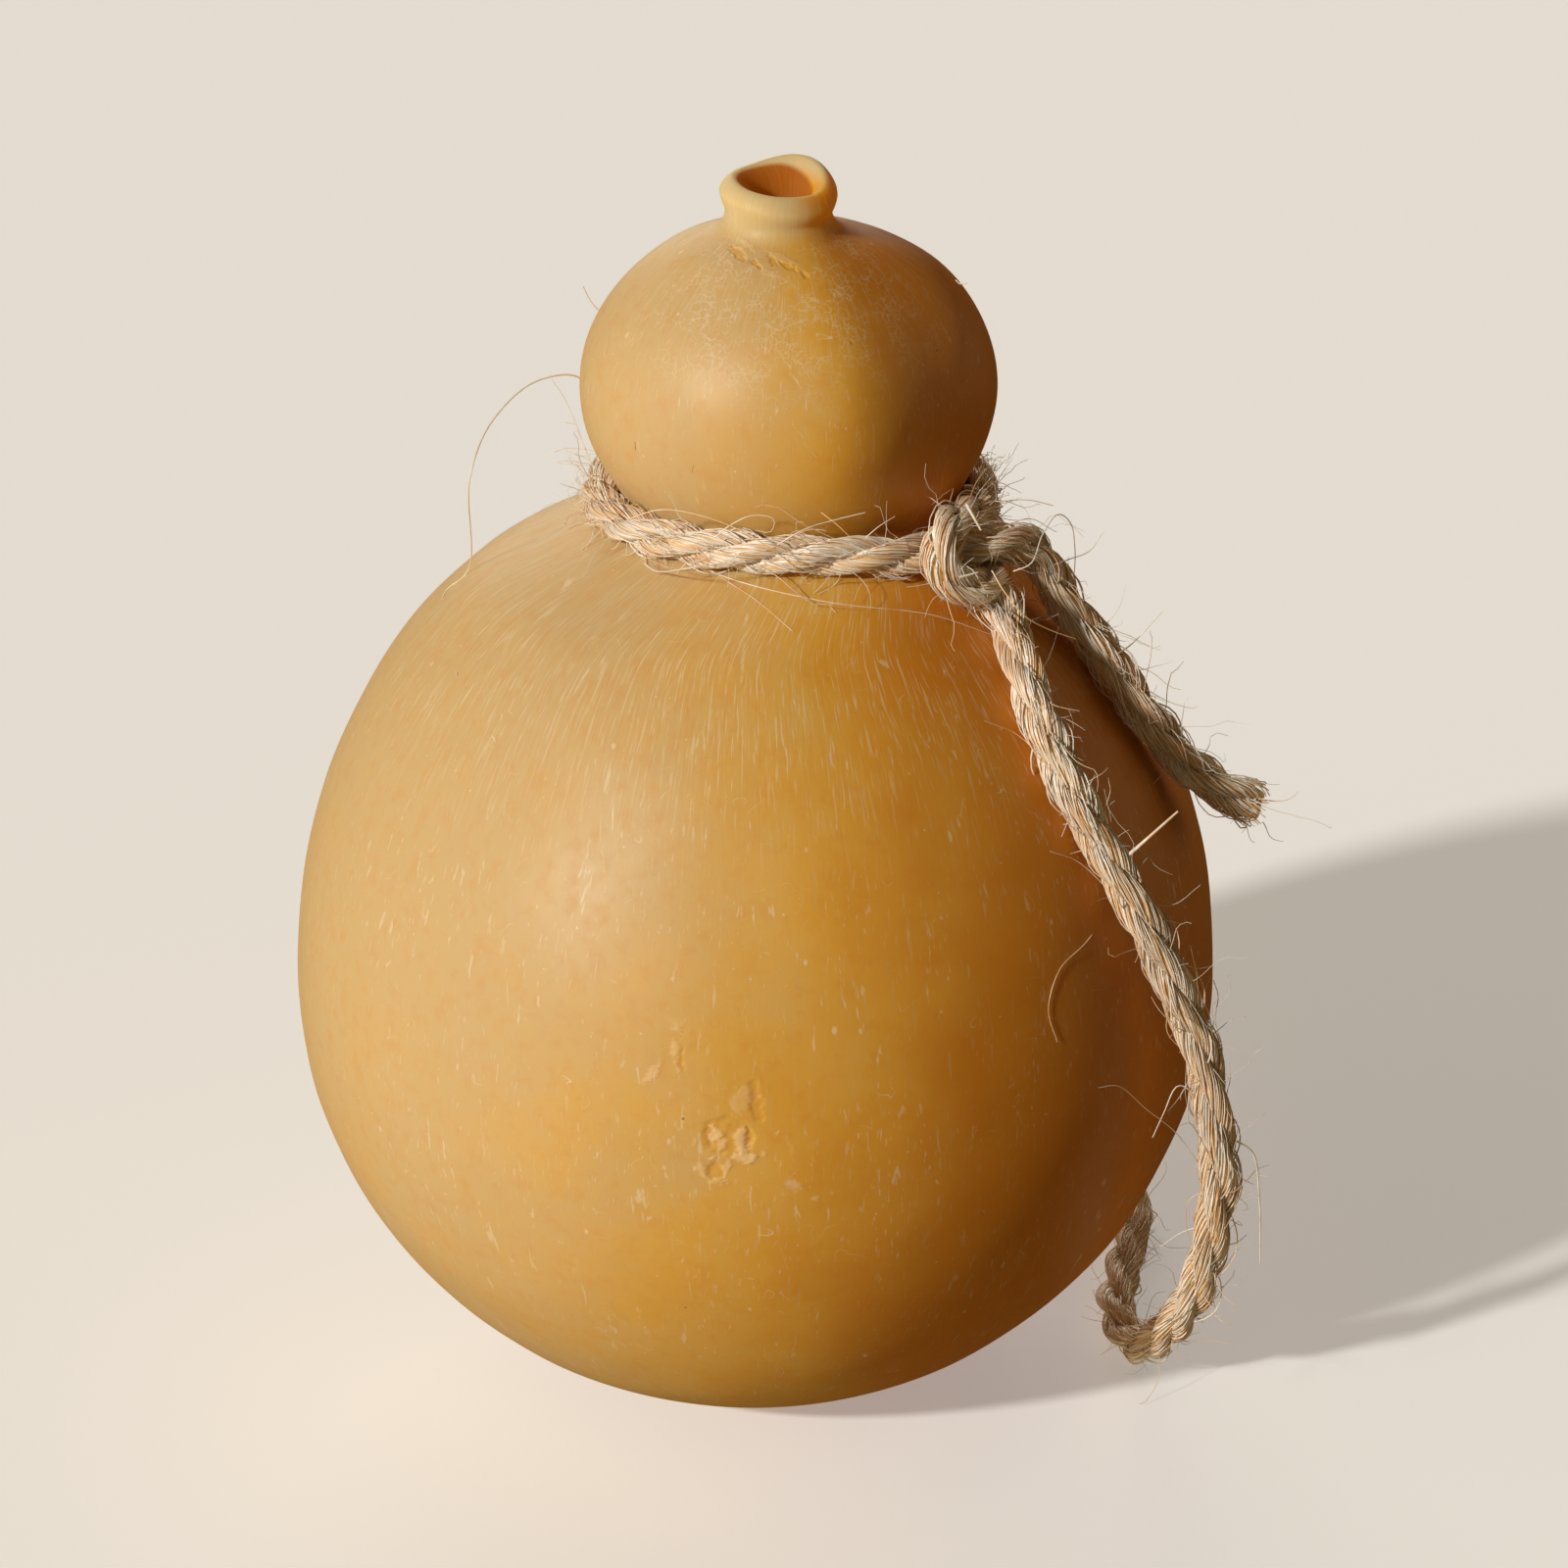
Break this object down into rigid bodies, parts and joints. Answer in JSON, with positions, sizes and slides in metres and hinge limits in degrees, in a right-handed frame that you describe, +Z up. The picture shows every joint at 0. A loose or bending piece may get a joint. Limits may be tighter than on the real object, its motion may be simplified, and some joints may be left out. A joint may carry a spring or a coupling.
{
  "type": "caciocavallo cheese",
  "caption": "Gourd-shaped stretched-curd cheese with a round body, small head and open button, and a sisal rope knotted round its neck with two free tails.",
  "frame": {"origin": "middle of the flat spot that the cheese rests on", "axes": "+Z up through body and head, -Y the front that the picture shows, +X to the right, on the side of the knot"},
  "size_m": [0.1564, 0.1591, 0.2037],
  "materials": {
    "rind": "waxy, slightly translucent golden rind with a soft sheen",
    "sisal": "laid three-strand sisal, pale straw, hairy"
  },
  "bodies": {
    "root": {"cheese": "rind", "rope_collar": "sisal", "rope_knot": "sisal", "rope_tail_short": "sisal", "rope_tail_long": "sisal"}
  },
  "joints": []
}
